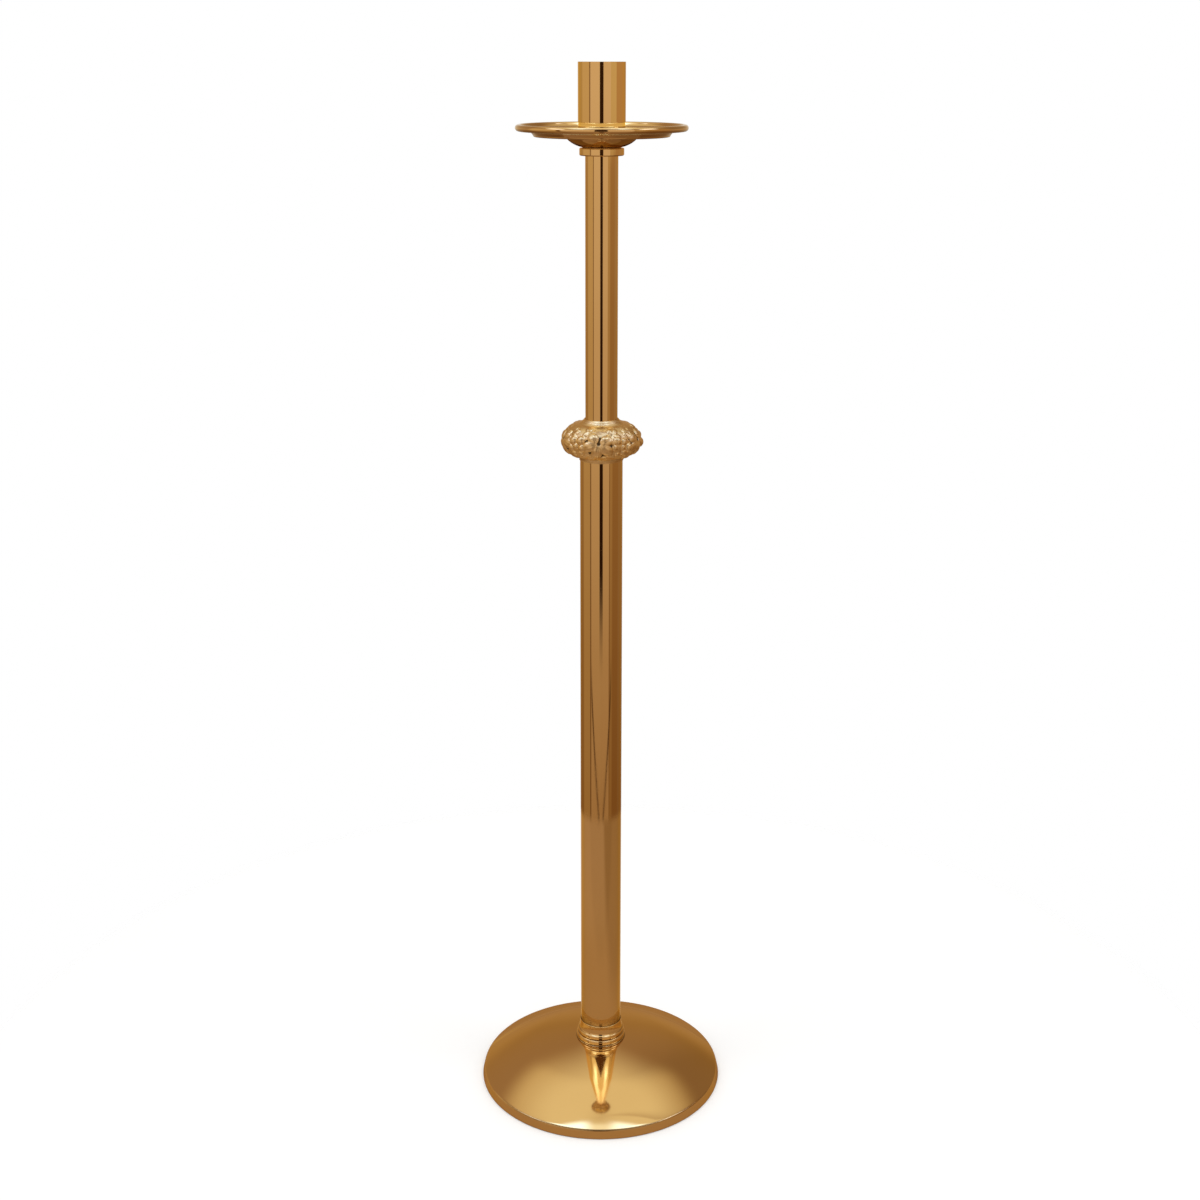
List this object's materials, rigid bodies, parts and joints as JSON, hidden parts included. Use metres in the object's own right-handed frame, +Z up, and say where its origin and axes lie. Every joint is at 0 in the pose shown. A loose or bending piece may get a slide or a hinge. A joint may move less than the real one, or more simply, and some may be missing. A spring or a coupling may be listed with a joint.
{
  "type": "floor candlestick",
  "caption": "Tall polished brass floor candlestick: round domed base, two-stage tube stem with a cast vine knop, lift-off drip pan and a plain tube socket for one thick candle.",
  "frame": {"origin": "on the floor at the middle of the base, at the underside of the felt", "axes": "+Z up along the stem; the shape is round about +Z, and +X points at a gap of the knop's relief"},
  "size_m": [0.268, 0.268, 1.118],
  "materials": {
    "polished_brass": "polished and lacquered",
    "cast_brass": "cast, polished on the high parts",
    "turned_brass": "turned, unpolished",
    "steel": "bright zinc plated",
    "iron": "rough cast",
    "felt": "dense felt"
  },
  "bodies": {
    "stand": {"felt_pad": "felt", "base_plate": "steel", "base_weight": "iron", "base_shell": "polished_brass", "rod_bottom_washer": "steel", "rod_bottom_nut": "steel", "lower_tie_rod": "steel", "base_collar": "polished_brass", "lower_tube_foot_bush": "turned_brass", "lower_tube": "polished_brass", "lower_tube_top_bush": "turned_brass", "rod_coupling": "steel", "knop": "cast_brass", "upper_tie_rod": "steel", "upper_tube_foot_bush": "turned_brass", "upper_tube": "polished_brass", "upper_tube_top_bush": "turned_brass", "top_collar": "polished_brass", "pan_cup": "polished_brass", "candle_socket": "polished_brass", "socket_floor": "turned_brass", "rod_top_washer": "steel", "rod_top_nut": "steel"},
    "drip_pan": {"drip_pan": "polished_brass"}
  },
  "joints": [
    {"name": "pan_lift", "type": "slide", "parent": "stand", "child": "drip_pan", "axis": [0, 0, 1], "range_m": [0, 0.085]}
  ]
}
